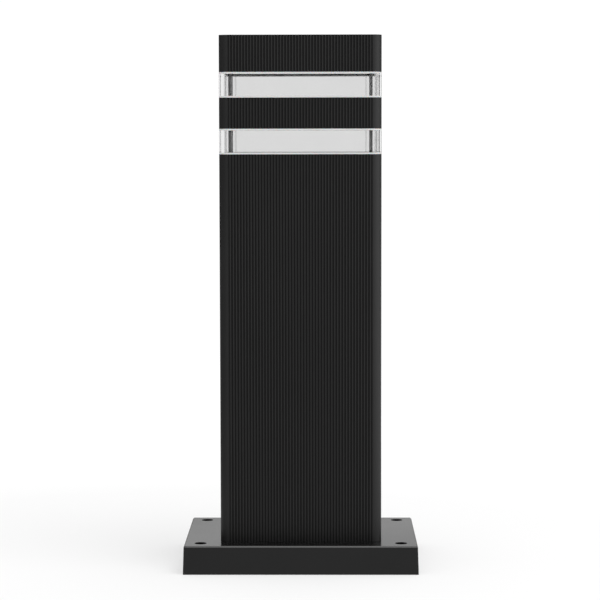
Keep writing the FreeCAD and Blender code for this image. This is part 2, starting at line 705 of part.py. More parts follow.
def connector(z, side):
    """Push-in block at one end of the board, with a hole for each of two leads."""
    length, width, height = CONNECTOR
    x = side * CONNECTOR_X
    top = z + SINK_Z + height
    body = box(x - length / 2, x + length / 2, LEAD_Y - width / 2, LEAD_Y + width / 2, z + SINK_Z, top)
    depth = LEAD_DEPTH + WIRE_HOLE_PAST_END
    return body.cut([rod(x + offset, LEAD_Y, top - depth, LEAD_R + WIRE_HOLE_GAP, depth + 1)
                     for offset in (-CONTACT_OFFSET, CONTACT_OFFSET)])


for section, level in (("spacer", SPACER_Z), ("cap", CAP_Z)):
    save(section + "_lens_sheet", lens_sheet(level))
    save(section + "_leds", leds(level))
    save(section + "_led_board", led_board(level))
    save(section + "_heat_sink", heat_sink(level))
    save(section + "_engine_screws", engine_screws(level))
save("spacer_lead_connector", connector(SPACER_Z, -1))
save("cap_lead_connectors", [connector(CAP_Z, side) for side in (-1, 1)])


# ---------------------------------------------------------------- side straps
def strap(side):
    """Flat bar on the rails of one side, from the post up into the cap."""
    x0, x1 = sorted((side * STRAP_X, side * RAIL_X))
    body = box(x0, x1, -STRAP_W / 2, STRAP_W / 2, STRAP_BOTTOM, STRAP_TOP)
    return body.cut([rod(-HALF_W, y, z, M4[0] + M4_HOLE_GAP, POST_W, vec(1, 0, 0))
                     for z in STRAP_POST_LEVELS + STRAP_SPACER_LEVELS + STRAP_CAP_LEVELS
                     for y in (-RAIL_Y, RAIL_Y)])


def strap_screws():
    screws = []
    for side in (-1, 1):
        for z in STRAP_POST_LEVELS + STRAP_SPACER_LEVELS + STRAP_CAP_LEVELS:
            for y in (-RAIL_Y, RAIL_Y):
                place = vec(side * STRAP_X, y, z)
                length = STRAP_T + RAIL_DEEP + SCREW_TIP_PAST_RAIL
                screws.append(pan_screw(place, vec(side, 0, 0), M4, length))
    return screws


save("left_strap", strap(-1))
save("right_strap", strap(1))
save("strap_screws", strap_screws())


# ---------------------------------------------------------------- gear tray
TRAY_WEB_Y = TRAY_BACK_Y - TRAY_T
DRIVER_Z0 = TRAY_Z0 + DRIVER_Z
DRIVER_Z1 = DRIVER_Z0 + DRIVER_H
DRIVER_EARS = (DRIVER_Z0 - DRIVER_EAR / 2, DRIVER_Z1 + DRIVER_EAR / 2)
DRIVER_Y = TRAY_WEB_Y - DRIVER_D / 2
DRIVER_INLETS = (-5.0, 5.0)
DRIVER_OUTLETS = (-6.0, 6.0)
LEAD_CROSS_Z = DRIVER_Z1 + LEAD_CROSS_ABOVE_DRIVER
BLOCK_Z0 = TRAY_Z0 + BLOCK_Z
BLOCK_Z1 = BLOCK_Z0 + BLOCK_H
BLOCK_FRONT = TRAY_WEB_Y - BLOCK_D
BLOCK_Y = TRAY_WEB_Y - BLOCK_D / 2
BLOCK_X = len(POLES) * POLE_PITCH / 2 + BLOCK_WALL
BLOCK_EAR_Z = (BLOCK_Z0 + BLOCK_Z1) / 2
POLE_X = {pole: (i - (len(POLES) - 1) / 2) * POLE_PITCH for i, pole in enumerate(POLES)}
EARTH_Z = BLOCK_Z1 + EARTH_ABOVE_BLOCK


def tray_holes():
    """Threaded holes in the tray's web for all that is screwed to it."""
    holes = [rod(0, TRAY_WEB_Y - 1, z, M4[0] + SCREW_GAP, TRAY_T + 2, vec(0, 1, 0)) for z in DRIVER_EARS]
    for side in (-1, 1):
        x = side * (BLOCK_X + BLOCK_EAR / 2)
        holes.append(rod(x, TRAY_WEB_Y - 1, BLOCK_EAR_Z, M3[0] + SCREW_GAP, TRAY_T + 2, vec(0, 1, 0)))
    holes.append(rod(EARTH_X, TRAY_WEB_Y - 1, EARTH_Z, M4[0] + SCREW_GAP, TRAY_T + 2, vec(0, 1, 0)))
    return holes


def gear_tray():
    """Bent channel between the rails: a back web and a flange down each side."""
    front = TRAY_BACK_Y - TRAY_FLANGE
    outside = box(-RAIL_X, RAIL_X, front, TRAY_BACK_Y, TRAY_Z0, TRAY_Z1)
    inside = box(-RAIL_X + TRAY_T, RAIL_X - TRAY_T, front - 1, TRAY_WEB_Y, TRAY_Z0 - 1, TRAY_Z1 + 1)
    body = outside.cut(inside)
    bends = [e for e in body.Edges if e.Length > TRAY_H - 1 and abs(e.CenterOfMass.y - TRAY_BACK_Y) < 0.01]
    body = body.makeFillet(TRAY_T * 0.9, bends)
    cuts = tray_holes()
    for z in TRAY_SCREW_LEVELS:
        cuts.append(rod(-HALF_W, -RAIL_Y, z, M4[0] + M4_HOLE_GAP, POST_W, vec(1, 0, 0)))
    return body.cut(cuts)


def gear_tray_screws():
    length = TRAY_T + RAIL_DEEP + SCREW_TIP_PAST_RAIL
    return [pan_screw(vec(side * (RAIL_X - TRAY_T), -RAIL_Y, z), vec(side, 0, 0), M4, length)
            for side in (-1, 1) for z in TRAY_SCREW_LEVELS]


def led_driver():
    """Potted driver in a rounded case, with a fixing ear and an inlet at each end."""
    case = box(-DRIVER_W / 2, DRIVER_W / 2, TRAY_WEB_Y - DRIVER_D, TRAY_WEB_Y, DRIVER_Z0, DRIVER_Z1)
    rounds = [e for e in case.Edges if e.CenterOfMass.y < TRAY_WEB_Y - 0.01]
    case = case.makeFillet(DRIVER_EDGE_R, rounds)
    ears = box(-DRIVER_W / 4, DRIVER_W / 4, TRAY_WEB_Y - DRIVER_EAR_T, TRAY_WEB_Y,
               DRIVER_Z0 - DRIVER_EAR, DRIVER_Z1 + DRIVER_EAR)
    cuts = [rod(0, TRAY_WEB_Y - DRIVER_D, z, M4[0] + M4_HOLE_GAP, DRIVER_D + 1, vec(0, 1, 0))
            for z in DRIVER_EARS]
    depth = WIRE_IN_DRIVER + WIRE_HOLE_PAST_END
    cuts += [rod(x, DRIVER_Y, DRIVER_Z0 - 1, WIRE_R + WIRE_HOLE_GAP, depth + 1) for x in DRIVER_INLETS]
    cuts += [rod(x, DRIVER_Y, DRIVER_Z1 - depth, LEAD_R + WIRE_HOLE_GAP, depth + 1) for x in DRIVER_OUTLETS]
    return case.fuse(ears).removeSplitter().cut(cuts)


save("gear_tray", gear_tray())
save("gear_tray_screws", gear_tray_screws())
save("led_driver", led_driver())
DRIVER_SCREW_L = DRIVER_EAR_T + TRAY_T + 1
save("led_driver_screws", [pan_screw(vec(0, TRAY_WEB_Y - DRIVER_EAR_T, z), vec(0, 1, 0), M4, DRIVER_SCREW_L)
                           for z in DRIVER_EARS])


# ---------------------------------------------------------------- terminal block with levers
PIVOT_Y = BLOCK_FRONT + LEVER_POCKET / 2
PIVOT_Z = BLOCK_Z1 - LEVER_PIVOT_DROP
POCKET_X = LEVER_W / 2 + LEVER_SIDE_GAP
CONTACT = (5.0, 1.0, 14.0)
CONTACT_BEHIND = 3.0
CONTACT_LIFT = 6.0
BLOCK_SCREW_L = BLOCK_EAR_T + TRAY_T + 1


def contact(x):
    """Flat brass bar inside the housing, behind the wire holes of one pole."""
    width, thick, height = CONTACT
    y = BLOCK_Y + CONTACT_BEHIND
    z = BLOCK_Z0 + CONTACT_LIFT
    return box(x - width / 2, x + width / 2, y - thick / 2, y + thick / 2, z, z + height)


def terminal_block():
    """Housing with a pocket for each lever, supply holes below and wire holes above."""
    body = box(-BLOCK_X, BLOCK_X, BLOCK_FRONT, TRAY_WEB_Y, BLOCK_Z0, BLOCK_Z1)
    body = body.makeFillet(BLOCK_EDGE_R, [e for e in body.Edges if e.CenterOfMass.y < TRAY_WEB_Y - 0.01])
    ears = box(-BLOCK_X - BLOCK_EAR, BLOCK_X + BLOCK_EAR, TRAY_WEB_Y - BLOCK_EAR_T, TRAY_WEB_Y,
               BLOCK_EAR_Z - BLOCK_EAR / 2, BLOCK_EAR_Z + BLOCK_EAR / 2)
    cuts = []
    for x in POLE_X.values():
        cuts.append(box(x - POCKET_X, x + POCKET_X, BLOCK_FRONT - 1, BLOCK_FRONT + LEVER_POCKET,
                        PIVOT_Z - LEVER_L - LEVER_TIP_GAP, PIVOT_Z + LEVER_BACK_ROOM))
        cuts.append(rod(x, BLOCK_Y, BLOCK_Z0 - 1, SUPPLY_HOLE_R, SUPPLY_HOLE_DEPTH + 1))
        depth = WIRE_IN_BLOCK + WIRE_HOLE_PAST_END
        cuts.append(rod(x, BLOCK_Y, BLOCK_Z1 - depth, WIRE_R + WIRE_HOLE_GAP, depth + 1))
        cuts.append(contact(x))
    cuts.append(rod(-BLOCK_X - 1, PIVOT_Y, PIVOT_Z, LEVER_PIN_R, 2 * BLOCK_X + 2, vec(1, 0, 0)))
    for side in (-1, 1):
        x = side * (BLOCK_X + BLOCK_EAR / 2)
        cuts.append(rod(x, BLOCK_FRONT, BLOCK_EAR_Z, M3[0] + M3_HOLE_GAP, BLOCK_D + 1, vec(0, 1, 0)))
    return body.fuse(ears).removeSplitter().cut(cuts)


def lever(x):
    """Clamp lever: a barrel on the pin and a flat arm with a finger lip."""
    x0 = x - LEVER_W / 2
    barrel = rod(x0, PIVOT_Y, PIVOT_Z, LEVER_BARREL_R, LEVER_W, vec(1, 0, 0))
    arm = box(x0, x0 + LEVER_W, PIVOT_Y - LEVER_T / 2, PIVOT_Y + LEVER_T / 2, PIVOT_Z - LEVER_L, PIVOT_Z)
    lip = box(x0, x0 + LEVER_W, PIVOT_Y - LEVER_T / 2 - LEVER_LIP, PIVOT_Y,
              PIVOT_Z - LEVER_L, PIVOT_Z - LEVER_L + LEVER_LIP)
    hole = rod(x0 - 1, PIVOT_Y, PIVOT_Z, LEVER_PIN_R + LEVER_PIN_GAP, LEVER_W + 2, vec(1, 0, 0))
    return barrel.fuse([arm, lip]).removeSplitter().cut(hole)


save("terminal_block", terminal_block())
ear_places = [vec(side * (BLOCK_X + BLOCK_EAR / 2), TRAY_WEB_Y - BLOCK_EAR_T, BLOCK_EAR_Z)
              for side in (-1, 1)]
save("terminal_block_screws", [pan_screw(place, vec(0, 1, 0), M3, BLOCK_SCREW_L) for place in ear_places])
save("terminal_contacts", [contact(x) for x in POLE_X.values()])
save("lever_pin", rod(-BLOCK_X, PIVOT_Y, PIVOT_Z, LEVER_PIN_R, 2 * BLOCK_X, vec(1, 0, 0)))
for pole, x in POLE_X.items():
    save(pole + "_lever", lever(x))


# ---------------------------------------------------------------- earth point and wiring
TAG_FACE = TRAY_WEB_Y - TAG_T
TAG_BARREL_X = EARTH_X - TAG_RING_R - TAG_BARREL_L


def earth_tag():
    """Ring tag under the earth screw, with a crimp barrel for the wire."""
    ring = rod(EARTH_X, TAG_FACE, EARTH_Z, TAG_RING_R, TAG_T, vec(0, 1, 0))
    tongue = box(EARTH_X - TAG_RING_R - 1, EARTH_X, TAG_FACE, TRAY_WEB_Y,
                 EARTH_Z - TAG_BARREL_R, EARTH_Z + TAG_BARREL_R)
    barrel = rod(TAG_BARREL_X, TRAY_WEB_Y - TAG_BARREL_R, EARTH_Z, TAG_BARREL_R, TAG_BARREL_L, vec(1, 0, 0))
    bore = rod(TAG_BARREL_X - 1, TRAY_WEB_Y - TAG_BARREL_R, EARTH_Z, WIRE_R + SCREW_GAP,
               TAG_BARREL_L - 1, vec(1, 0, 0))
    hole = rod(EARTH_X, TAG_FACE - 1, EARTH_Z, M4[0] + M4_HOLE_GAP, TAG_T + 2, vec(0, 1, 0))
    return ring.fuse([tongue, barrel]).removeSplitter().cut([bore, hole])


WIRE_START = BLOCK_Z1 - WIRE_IN_BLOCK
WIRE_END = DRIVER_Z0 + WIRE_IN_DRIVER


def supply_wire(x_block, x_driver):
    points = [vec(x_block, BLOCK_Y, WIRE_START), vec(x_block, BLOCK_Y, BLOCK_Z1 + WIRE_STRAIGHT),
              vec(x_driver, DRIVER_Y, DRIVER_Z0 - WIRE_STRAIGHT), vec(x_driver, DRIVER_Y, WIRE_END)]
    return round_lead(points, WIRE_R, WIRE_BEND_R)


def earth_wire():
    y_tag = TRAY_WEB_Y - TAG_BARREL_R
    x = POLE_X["earth"]
    points = [vec(x, BLOCK_Y, WIRE_START), vec(x, BLOCK_Y, EARTH_Z - WIRE_STRAIGHT / 3),
              vec(x + WIRE_STRAIGHT, y_tag, EARTH_Z), vec(TAG_BARREL_X + EARTH_WIRE_IN, y_tag, EARTH_Z)]
    return round_lead(points, WIRE_R, EARTH_WIRE_BEND_R)


def rising_lead(side, x_in, top, x_out, end_z):
    """Lead from the driver out to one strap, up beside it, and over into a connector."""
    x = side * LEAD_X
    points = [vec(x_in, LEAD_Y, DRIVER_Z1 - WIRE_IN_DRIVER), vec(x_in, LEAD_Y, LEAD_CROSS_Z),
              vec(x, LEAD_Y, LEAD_CROSS_Z), vec(x, LEAD_Y, top),
              vec(x_out, LEAD_Y, top), vec(x_out, LEAD_Y, end_z)]
    return round_lead(points, LEAD_R, LEAD_BEND_R)


def link_lead():
    """Lead from the spacer's connector to the cap's, up beside the left strap."""
    x_low = CONTACT_OFFSET - CONNECTOR_X
    x_top = -CONTACT_OFFSET - CONNECTOR_X
    points = [vec(x_low, LEAD_Y, SPACER_Z + LEAD_END), vec(x_low, LEAD_Y, SPACER_Z + LINK_LEVEL),
              vec(-LEAD_X, LEAD_Y, SPACER_Z + LINK_LEVEL), vec(-LEAD_X, LEAD_Y, CAP_Z + FEED_LEVEL),
              vec(x_top, LEAD_Y, CAP_Z + FEED_LEVEL), vec(x_top, LEAD_Y, CAP_Z + LEAD_END)]
    return round_lead(points, LEAD_R, LEAD_BEND_R)


LEAD_END = SINK_Z + CONNECTOR[2] - LEAD_DEPTH
FEED_LEVEL = LEAD_END + FEED_ABOVE_CONNECTOR
LINK_LEVEL = FEED_LEVEL + LINK_ABOVE_FEED
save("earth_tag", earth_tag())
save("earth_screw", pan_screw(vec(EARTH_X, TAG_FACE, EARTH_Z), vec(0, 1, 0), M4, TAG_T + TRAY_T + 2))
save("line_wire", supply_wire(POLE_X["line"], DRIVER_INLETS[0]))
save("neutral_wire", supply_wire(POLE_X["neutral"], DRIVER_INLETS[1]))
save("earth_wire", earth_wire())
save("feed_lead", rising_lead(-1, DRIVER_OUTLETS[0], SPACER_Z + FEED_LEVEL, -CONTACT_OFFSET - CONNECTOR_X,
                              SPACER_Z + LEAD_END))
save("link_lead", link_lead())
save("return_lead", rising_lead(1, DRIVER_OUTLETS[1], CAP_Z + FEED_LEVEL, CONTACT_OFFSET + CONNECTOR_X,
                                CAP_Z + LEAD_END))
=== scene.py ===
"""Looks, setting and camera for the fluted bollard light with two clear windows.

Every CAD piece keeps its own mesh and gets a procedural finish, except the two clear
rings, which are rebuilt here with polished edges. Metres, Z up, foot centre at the origin.
"""
import bpy
import math
from mathutils import Matrix, Vector


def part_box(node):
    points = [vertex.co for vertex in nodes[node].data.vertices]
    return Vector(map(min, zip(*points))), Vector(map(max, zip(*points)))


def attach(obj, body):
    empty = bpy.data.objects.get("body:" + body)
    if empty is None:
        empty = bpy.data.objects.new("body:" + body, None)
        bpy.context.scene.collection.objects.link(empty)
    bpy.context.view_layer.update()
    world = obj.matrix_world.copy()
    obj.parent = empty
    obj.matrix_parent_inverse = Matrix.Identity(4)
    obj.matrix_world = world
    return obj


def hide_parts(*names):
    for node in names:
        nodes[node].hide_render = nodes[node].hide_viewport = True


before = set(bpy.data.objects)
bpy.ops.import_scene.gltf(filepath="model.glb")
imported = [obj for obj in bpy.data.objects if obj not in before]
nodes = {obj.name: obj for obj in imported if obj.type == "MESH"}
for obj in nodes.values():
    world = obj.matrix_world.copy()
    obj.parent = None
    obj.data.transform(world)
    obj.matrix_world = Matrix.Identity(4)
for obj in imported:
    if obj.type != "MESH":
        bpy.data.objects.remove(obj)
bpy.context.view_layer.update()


# ---------------------------------------------------------------- base plate
# A drafted aluminium casting, sprayed with a smooth satin black that mirrors the foot
# of the post. The walls of its four anchor holes are painted near black and unshiny: painted shade.
def shader(name):
    """A fresh material with its tree and its Principled shader."""
    material = bpy.data.materials.new(name)
    material.use_nodes = True
    return material, material.node_tree, material.node_tree.nodes["Principled BSDF"]


def feed(tree, socket, value):
    """Gives a socket another node's output, or a plain value."""
    if isinstance(value, bpy.types.NodeSocket):
        tree.links.new(value, socket)
    else:
        socket.default_value = value


def calculate(tree, operation, *values):
    node = tree.nodes.new("ShaderNodeMath")
    node.operation = operation
    for socket, value in zip(node.inputs, values):
        feed(tree, socket, value)
    return node.outputs[0]


def calculate_vector(tree, operation, *values):
    node = tree.nodes.new("ShaderNodeVectorMath")
    node.operation = operation
    for socket, value in zip(node.inputs, values):
        feed(tree, socket, value)
    return node.outputs["Value" if operation in ("LENGTH", "DISTANCE") else "Vector"]


def remap(tree, value, from_low, from_high, to_low, to_high):
    """Maps one range onto another, held at its ends."""
    node = tree.nodes.new("ShaderNodeMapRange")
    node.inputs["From Min"].default_value = from_low
    node.inputs["From Max"].default_value = from_high
    node.inputs["To Min"].default_value = to_low
    node.inputs["To Max"].default_value = to_high
    tree.links.new(value, node.inputs["Value"])
    return node.outputs["Result"]


def spread_value(tree, mask, low, high, target):
    """Lets a shader's value run from low to high with a mask."""
    tree.links.new(remap(tree, mask, 0.0, 1.0, low, high), target)


def mix_colours(tree, mask, low, high):
    """Blends two colours by a mask; each is a socket or plain red, green and blue."""
    mix = tree.nodes.new("ShaderNodeMix")
    mix.data_type = "RGBA"
    tree.links.new(mask, mix.inputs["Factor"])
    for label, colour in (("A", low), ("B", high)):
        feed(tree, mix.inputs[label], (*colour, 1.0) if isinstance(colour, tuple) else colour)
    return mix.outputs["Result"]


def object_place(tree):
    return tree.nodes.new("ShaderNodeTexCoord").outputs["Object"]


def noise(tree, place, scale, detail, roughness=0.5):
    node = tree.nodes.new("ShaderNodeTexNoise")
    node.inputs["Detail"].default_value = detail
    node.inputs["Roughness"].default_value = roughness
    feed(tree, node.inputs["Scale"], scale)
    tree.links.new(place, node.inputs["Vector"])
    return node.outputs["Fac"]


def raised(tree, height, strength, distance):
    """The normal of a bumpy skin."""
    bump = tree.nodes.new("ShaderNodeBump")
    bump.inputs["Distance"].default_value = distance
    feed(tree, bump.inputs["Strength"], strength)
    tree.links.new(height, bump.inputs["Height"])
    return bump.outputs["Normal"]


def new_group(name, inputs, outputs):
    """An empty node group with named number inputs and named outputs."""
    group = bpy.data.node_groups.new(name, "ShaderNodeTree")
    for label, value in inputs:
        socket = group.interface.new_socket(label, in_out="INPUT", socket_type="NodeSocketFloat")
        socket.default_value = value
    for label, kind in outputs:
        group.interface.new_socket(label, in_out="OUTPUT", socket_type=kind)
    start = group.nodes.new("NodeGroupInput")
    end = group.nodes.new("NodeGroupOutput")
    return group, start.outputs, end.inputs


def grain_group():
    """Two sizes of noise that make a fine orange-peel skin."""
    group, given, out = new_group("grain", [("Scale", 2500.0), ("Depth", 0.3)],
                                  [("Mask", "NodeSocketFloat"), ("Normal", "NodeSocketVector")])
    place = object_place(group)
    fine = noise(group, place, given["Scale"], 3.0)
    coarse = noise(group, place, calculate(group, "MULTIPLY", given["Scale"], 0.2), 1.0)
    height = calculate(group, "ADD", fine, coarse)
    group.links.new(fine, out["Mask"])
    group.links.new(raised(group, height, given["Depth"], 0.00015), out["Normal"])
    return group


def blotch_group():
    """Broad uneven patches plus a sparse scatter of small specks."""
    group, given, out = new_group("blotches", [("Scale", 9.0), ("Specks", 0.3)],
                                  [("Patches", "NodeSocketFloat"), ("Dust", "NodeSocketFloat")])
    place = object_place(group)
    patches = remap(group, noise(group, place, given["Scale"], 6.0, 0.62), 0.35, 0.65, 0.0, 1.0)
    cells = group.nodes.new("ShaderNodeTexVoronoi")
    cells.inputs["Scale"].default_value = 420.0
    group.links.new(place, cells.inputs["Vector"])
    split = group.nodes.new("ShaderNodeSeparateColor")
    group.links.new(cells.outputs["Color"], split.inputs["Color"])
    dots = remap(group, cells.outputs["Distance"], 0.16, 0.06, 0.0, 1.0)
    rare = calculate(group, "SUBTRACT", 1.0, given["Specks"])
    few = calculate(group, "GREATER_THAN", split.outputs["Red"], rare)
    specks = calculate(group, "MULTIPLY", calculate(group, "MULTIPLY", dots, few), patches)
    group.links.new(patches, out["Patches"])
    group.links.new(specks, out["Dust"])
    return group


def use_group(tree, group, **values):
    node = tree.nodes.new("ShaderNodeGroup")
    node.node_tree = group
    for label, value in values.items():
        node.inputs[label].default_value = value
    return node.outputs


def dress(material, *names):
    """Puts a finish on CAD nodes, through each object's own material slots."""
    for name in names:
        for place in nodes[name].material_slots:
            place.material = material


GRAIN = grain_group()
BLOTCHES = blotch_group()


def black_coat(name, dark, light, rough, grain, depth, dust):
    """Black paint with uneven patches, a fine skin and a few pale specks of dust."""
    material, tree, bsdf = shader(name)
    skin = use_group(tree, GRAIN, Scale=grain, Depth=depth)
    wear = use_group(tree, BLOTCHES, Scale=7.0, Specks=dust)
    tone = mix_colours(tree, wear["Patches"], (dark, dark, dark), (light, light, light))
    faint = calculate(tree, "MULTIPLY", wear["Dust"], 0.25)
    tree.links.new(mix_colours(tree, faint, tone, (0.09, 0.088, 0.085)), bsdf.inputs["Base Color"])
    spread_value(tree, wear["Patches"], rough - 0.03, rough + 0.03, bsdf.inputs["Roughness"])
    tree.links.new(skin["Normal"], bsdf.inputs["Normal"])
    return material


def paint_shade_in(material, mask, grey, shine):
    """Where the mask is 1, the coat is painted darker and less shiny: painted shade."""
    tree = material.node_tree
    bsdf = tree.nodes["Principled BSDF"]
    coat = bsdf.inputs["Base Color"].links[0].from_socket
    tree.links.new(mix_colours(tree, mask, coat, (grey, grey, grey)), bsdf.inputs["Base Color"])
    spread_value(tree, mask, 0.5, shine, bsdf.inputs["Specular IOR Level"])


def anchor_hole_mask(tree, plate):
    """1 on the walls of the four holes, 0 on the faces round them."""
    inset, radius = 0.0158, 0.0056
    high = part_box(plate)[1]
    folded = calculate_vector(tree, "ABSOLUTE", object_place(tree))
    offset = calculate_vector(tree, "SUBTRACT", folded, (high.x - inset, high.y - inset, 0.0))
    flat = calculate_vector(tree, "MULTIPLY", offset, (1.0, 1.0, 0.0))
    return calculate(tree, "LESS_THAN", calculate_vector(tree, "LENGTH", flat), radius)


base_coat = black_coat("base_coat", 0.004, 0.006, 0.21, 900.0, 0.02, 0.10)
# Painted shade: the anchor hole walls are painted near black with no shine.
paint_shade_in(base_coat, anchor_hole_mask(base_coat.node_tree, "base_plate"), 0.001, 0.0)
dress(base_coat, "base_plate")


# ---------------------------------------------------------------- collar and the bright screws
# The collar is a bare aluminium casting that the post slides over, screwed up from
# under the base. Its screws and those inside the post are zinc plated.
def drawn_group():
    """Noise pulled out along X or Z, as rolling, drawing and cutting leave it."""
    group, given, out = new_group("drawn_lines", [("Across", 1800.0), ("Along", 30.0), ("Depth", 0.2)],
                                  [("Lines", "NodeSocketFloat"), ("Normal", "NodeSocketVector")])
    stretch = group.nodes.new("ShaderNodeCombineXYZ")
    group.links.new(given["Across"], stretch.inputs["X"])
    group.links.new(given["Across"], stretch.inputs["Y"])
    group.links.new(given["Along"], stretch.inputs["Z"])
    place = calculate_vector(group, "MULTIPLY", object_place(group), stretch.outputs[0])
    lines = noise(group, place, 1.0, 4.0)
    group.links.new(lines, out["Lines"])
    group.links.new(raised(group, lines, given["Depth"], 0.0001), out["Normal"])
    return group


DRAWN = drawn_group()


def bare_metal(name, low, high, rough, across, along, depth, metallic=1.0):
    """Metal with fine lines from its making and slightly uneven patches."""
    material, tree, bsdf = shader(name)
    lines = use_group(tree, DRAWN, Across=across, Along=along, Depth=depth)
    wear = use_group(tree, BLOTCHES, Scale=60.0, Specks=0.2)
    tree.links.new(mix_colours(tree, wear["Patches"], low, high), bsdf.inputs["Base Color"])
    spread_value(tree, lines["Lines"], rough - 0.1, rough + 0.1, bsdf.inputs["Roughness"])
    bsdf.inputs["Metallic"].default_value = metallic
    tree.links.new(lines["Normal"], bsdf.inputs["Normal"])
    return material


dress(bare_metal("spigot_casting", (0.42, 0.42, 0.43), (0.52, 0.52, 0.53), 0.55, 900.0, 900.0, 0.45),
      "spigot")
dress(bare_metal("zinc_screw", (0.50, 0.51, 0.53), (0.62, 0.62, 0.64), 0.28, 1500.0, 1500.0, 0.10),
      "spigot_screws", "strap_screws", "gear_tray_screws", "led_driver_screws", "terminal_block_screws",
      "earth_screw", "spacer_engine_screws", "cap_engine_screws")


# ---------------------------------------------------------------- cable gland
# A moulded black gland with a locknut and a domed clamping nut, over a rubber seal
# that grips the cable. The mouldings have a fine spark-eroded skin.
def moulding(name, low, high, rough, grain, depth):
    """Moulded plastic, a little shinier where it is worn."""
    material, tree, bsdf = shader(name)
    skin = use_group(tree, GRAIN, Scale=grain, Depth=depth)
    wear = use_group(tree, BLOTCHES, Scale=35.0, Specks=0.1)
    tree.links.new(mix_colours(tree, wear["Patches"], low, high), bsdf.inputs["Base Color"])
    spread_value(tree, wear["Patches"], rough + 0.06, rough - 0.06, bsdf.inputs["Roughness"])
    tree.links.new(skin["Normal"], bsdf.inputs["Normal"])
    return material


def soft_seal(name, low, high, rough, scatter):
    """Rubber or silicone with a slightly greasy, uneven skin."""
    material, tree, bsdf = shader(name)
    skin = use_group(tree, GRAIN, Scale=1500.0, Depth=0.08)
    wear = use_group(tree, BLOTCHES, Scale=40.0, Specks=0.15)
    tree.links.new(mix_colours(tree, wear["Patches"], low, high), bsdf.inputs["Base Color"])
    spread_value(tree, skin["Mask"], rough - 0.08, rough + 0.08, bsdf.inputs["Roughness"])
    bsdf.inputs["Subsurface Weight"].default_value = scatter
    bsdf.inputs["Subsurface Scale"].default_value = 0.002
    tree.links.new(skin["Normal"], bsdf.inputs["Normal"])
    return material


dress(moulding("gland_plastic", (0.030, 0.030, 0.033), (0.045, 0.045, 0.048), 0.42, 1600.0, 0.12),
      "gland_body", "gland_locknut", "gland_dome_nut")
dress(soft_seal("seal_rubber", (0.018, 0.018, 0.018), (0.028, 0.028, 0.028), 0.6, 0.0), "gland_seal")


# ---------------------------------------------------------------- post, spacer and cap
# Three lengths of one fluted aluminium extrusion in a fine matt powder coat. Down in
# the flutes the coat is painted darker and duller, painted shade; the rounded corners are left out.
def flute_mask(tree, section):
    """1 down in the flutes of the flat sides, 0 on their faces and round the corners."""
    below_face, round_corner = 0.00025, 0.0088
    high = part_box(section)[1]
    split = tree.nodes.new("ShaderNodeSeparateXYZ")
    tree.links.new(calculate_vector(tree, "ABSOLUTE", object_place(tree)), split.inputs[0])
    x, y = split.outputs["X"], split.outputs["Y"]
    sides = []
    for along, reach, through, face in ((x, high.x, y, high.y), (y, high.y, x, high.x)):
        on_flat = calculate(tree, "LESS_THAN", along, reach - round_corner)
        sunk = calculate(tree, "LESS_THAN", through, face - below_face)
        sides.append(calculate(tree, "MULTIPLY", on_flat, sunk))
    return calculate(tree, "MAXIMUM", *sides)


section_coat = black_coat("section_coat", 0.008, 0.010, 0.42, 2600.0, 0.06, 0.06)
# Painted shade: the flutes of the flat sides are painted darker and duller than the rib faces.
paint_shade_in(section_coat, flute_mask(section_coat.node_tree, "post_body"), 0.004, 0.25)
dress(section_coat, "post_body", "spacer_body", "cap_body")


# ---------------------------------------------------------------- lid, end plates and the black screws
# Flat aluminium sheet, cut and powder coated, closes each section and the cap. The
# plates that face up get a darker, duller copy of the coat, painted shade. They are held by black countersunk
# screws.
lid_coat = black_coat("lid_coat", 0.011, 0.014, 0.48, 2400.0, 0.10, 0.30)
plate_coat = black_coat("plate_coat", 0.016, 0.020, 0.55, 2200.0, 0.10, 0.05)
# A darker, duller copy of the plate coat for the up-facing plates: painted shade.
shaded_plate_coat = black_coat("shaded_plate_coat", 0.010, 0.013, 0.75, 2200.0, 0.10, 0.05)
shaded_plate_coat.node_tree.nodes["Principled BSDF"].inputs["Specular IOR Level"].default_value = 0.25
dress(lid_coat, "cap_lid")
dress(plate_coat, "spacer_bottom_plate", "cap_bottom_plate")
dress(shaded_plate_coat, "post_top_plate", "spacer_top_plate")
black_zinc = bare_metal("black_screw", (0.016, 0.016, 0.017), (0.030, 0.030, 0.032),
                        0.40, 1500.0, 1500.0, 0.12, 0.4)
dress(black_zinc, "post_set_screws", "cap_lid_screws", "cap_bottom_plate_screws",
      "post_top_plate_screws", "spacer_plate_screws")


# ---------------------------------------------------------------- window gaskets
# Four milky silicone frames, cut from sheet, that seal each clear ring above and
# below and catch the light along their edges.
dress(soft_seal("silicone", (0.55, 0.55, 0.55), (0.60, 0.60, 0.595), 0.40, 0.2),
      "lower_window_bottom_gasket", "lower_window_top_gasket",
      "upper_window_bottom_gasket", "upper_window_top_gasket")


# ---------------------------------------------------------------- clear window rings
# Two hollow acrylic frames with finely rounded, polished rims, a hair clear of their
# gaskets. They are rebuilt on their CAD outlines; the acrylic has a faint grey depth.
def clear_acrylic(name, grey, index, rough):
    """Clear plastic, barely uneven, with a few duller specks."""
    material, tree, bsdf = shader(name)
    wear = use_group(tree, BLOTCHES, Scale=25.0, Specks=0.1)
    bsdf.inputs["Transmission Weight"].default_value = 1.0
    bsdf.inputs["IOR"].default_value = index
    deeper = grey * 0.985
    colour = mix_colours(tree, wear["Patches"], (grey, grey, grey), (deeper, deeper, deeper))
    tree.links.new(colour, bsdf.inputs["Base Color"])
    spread_value(tree, wear["Dust"], 0.0, rough, bsdf.inputs["Roughness"])
    return material


def rounded_outline(half_x, half_y, radius, steps):
    points = []
    for turn, (sx, sy) in enumerate(((1, 1), (-1, 1), (-1, -1), (1, -1))):
        for i in range(steps + 1):
            angle = math.pi / 2 * (turn + i / steps)
            points.append((sx * (half_x - radius) + radius * math.cos(angle),
                           sy * (half_y - radius) + radius * math.sin(angle)))
    return points


